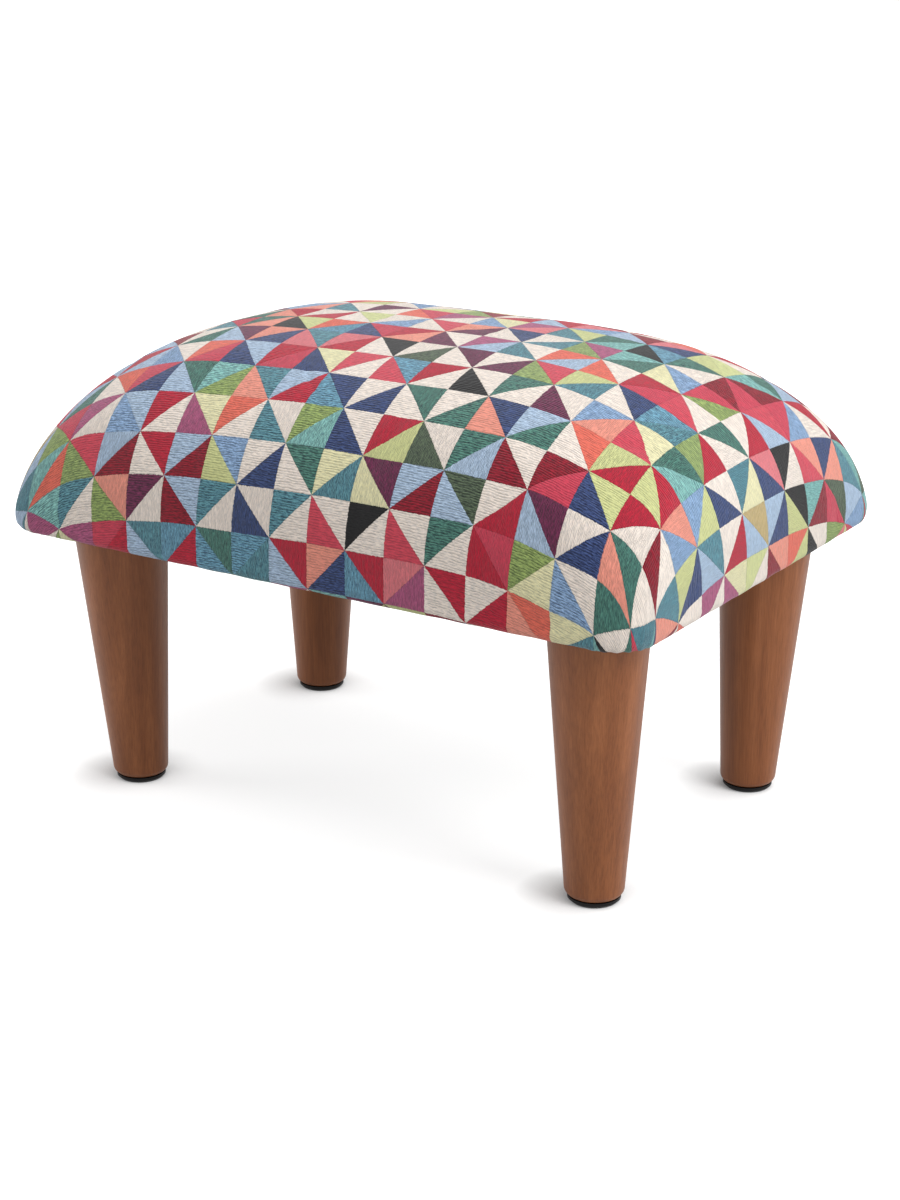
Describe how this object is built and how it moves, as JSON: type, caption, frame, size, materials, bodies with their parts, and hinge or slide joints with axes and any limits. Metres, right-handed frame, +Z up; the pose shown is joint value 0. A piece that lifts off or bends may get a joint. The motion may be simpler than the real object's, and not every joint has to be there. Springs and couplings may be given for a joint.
{
  "type": "upholstered footstool",
  "caption": "Low rectangular footstool with a domed padded seat in woven patchwork tapestry, on round tapered wooden legs with floor glides.",
  "frame": {"origin": "on the floor, at the centre of the stool's footprint", "axes": "+Z up, +X along the long side of the seat, +Y from the front to the back"},
  "size_m": [0.4, 0.287, 0.2671],
  "materials": {
    "tapestry": "matte",
    "walnut": "satin",
    "glide_plastic": "matte",
    "frame_wood": "matte",
    "zinc_steel": "satin",
    "staple_steel": "satin",
    "foam": "matte",
    "wadding": "matte",
    "dust_cloth": "matte"
  },
  "bodies": {
    "root": {"back_edge_foam": "foam", "back_rail": "frame_wood", "block_screws": "zinc_steel", "corner_block_back_left": "frame_wood", "corner_block_back_right": "frame_wood", "corner_block_front_left": "frame_wood", "corner_block_front_right": "frame_wood", "cover_staples": "staple_steel", "deck_board": "frame_wood", "deck_screws": "zinc_steel", "dust_cover": "dust_cloth", "dust_cover_staples": "staple_steel", "foam_base": "foam", "foam_crown": "foam", "front_edge_foam": "foam", "front_rail": "frame_wood", "glide_back_left": "glide_plastic", "glide_back_right": "glide_plastic", "glide_front_left": "glide_plastic", "glide_front_right": "glide_plastic", "glide_nails": "zinc_steel", "hanger_bolts": "zinc_steel", "left_edge_foam": "foam", "left_rail": "frame_wood", "leg_back_left": "walnut", "leg_back_right": "walnut", "leg_front_left": "walnut", "leg_front_right": "walnut", "rail_screws": "zinc_steel", "right_edge_foam": "foam", "right_rail": "frame_wood", "seat_cover": "tapestry", "threaded_inserts": "zinc_steel", "wadding": "wadding"}
  },
  "joints": []
}
